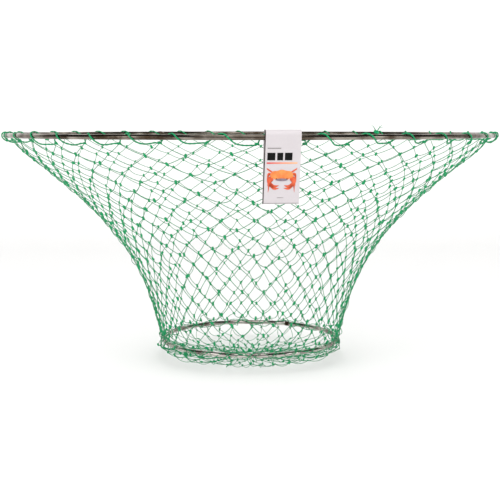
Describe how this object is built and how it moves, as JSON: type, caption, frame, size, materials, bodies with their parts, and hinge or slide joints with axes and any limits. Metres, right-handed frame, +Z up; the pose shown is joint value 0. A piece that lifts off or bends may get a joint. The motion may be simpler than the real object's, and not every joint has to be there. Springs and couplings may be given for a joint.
{
  "type": "folding crab net",
  "caption": "Collapsible two-ring crab net: a large steel hoop and a small steel ring joined by a green knotted net with a shallow floor bag.",
  "frame": {"origin": "centre of the top hoop, in the plane of its rod", "axes": "+Z up, along the axis of both rings; -Y is the front, where the tag hangs a little to the right"},
  "size_m": [0.771, 0.7734, 0.3695],
  "materials": {
    "ring_steel": "satin",
    "weld_steel": "matte",
    "green_netting": "satin",
    "green_lacing_twine": "satin",
    "tag_card": "satin"
  },
  "bodies": {
    "hoop": {"top_hoop": "ring_steel", "top_hoop_weld": "weld_steel", "top_lacing": "green_lacing_twine", "top_lacing_knot": "green_lacing_twine", "net_wall_1": "green_netting"},
    "net_band_1": {"net_wall_2": "green_netting"},
    "net_band_2": {"net_wall_3": "green_netting"},
    "net_band_3": {"net_wall_4": "green_netting"},
    "net_band_4": {"net_wall_5": "green_netting"},
    "net_band_5": {"net_wall_6": "green_netting"},
    "ring": {"bottom_ring": "ring_steel", "bottom_ring_weld": "weld_steel", "bottom_lacing": "green_lacing_twine", "bottom_lacing_knot": "green_lacing_twine", "net_wall_7": "green_netting", "floor_net": "green_netting", "floor_gather_cord": "green_lacing_twine", "floor_gather_knot": "green_lacing_twine"},
    "tag": {"hang_tag": "tag_card"}
  },
  "joints": [
    {"name": "net_fold_1", "type": "slide", "parent": "hoop", "child": "net_band_1", "axis": [0, 0, 1], "range_m": [0, 0.0546]},
    {"name": "net_fold_2", "type": "slide", "parent": "net_band_1", "child": "net_band_2", "axis": [0, 0, 1], "range_m": [0, 0.0546]},
    {"name": "net_fold_3", "type": "slide", "parent": "net_band_2", "child": "net_band_3", "axis": [0, 0, 1], "range_m": [0, 0.0546]},
    {"name": "net_fold_4", "type": "slide", "parent": "net_band_3", "child": "net_band_4", "axis": [0, 0, 1], "range_m": [0, 0.0546]},
    {"name": "net_fold_5", "type": "slide", "parent": "net_band_4", "child": "net_band_5", "axis": [0, 0, 1], "range_m": [0, 0.0546]},
    {"name": "ring_fold", "type": "slide", "parent": "net_band_5", "child": "ring", "axis": [0, 0, 1], "range_m": [0, 0.0546]},
    {"name": "tag_swing", "type": "hinge", "parent": "hoop", "child": "tag", "pos_m": [0.04049, -0.37884, 0], "axis": [-0.9943, -0.1063, 0], "range_deg": [-30, 95]}
  ],
  "couplings": [
    {"joint": "net_fold_1", "follows": "ring_fold", "ratio": 1},
    {"joint": "net_fold_2", "follows": "ring_fold", "ratio": 1},
    {"joint": "net_fold_3", "follows": "ring_fold", "ratio": 1},
    {"joint": "net_fold_4", "follows": "ring_fold", "ratio": 1},
    {"joint": "net_fold_5", "follows": "ring_fold", "ratio": 1}
  ]
}
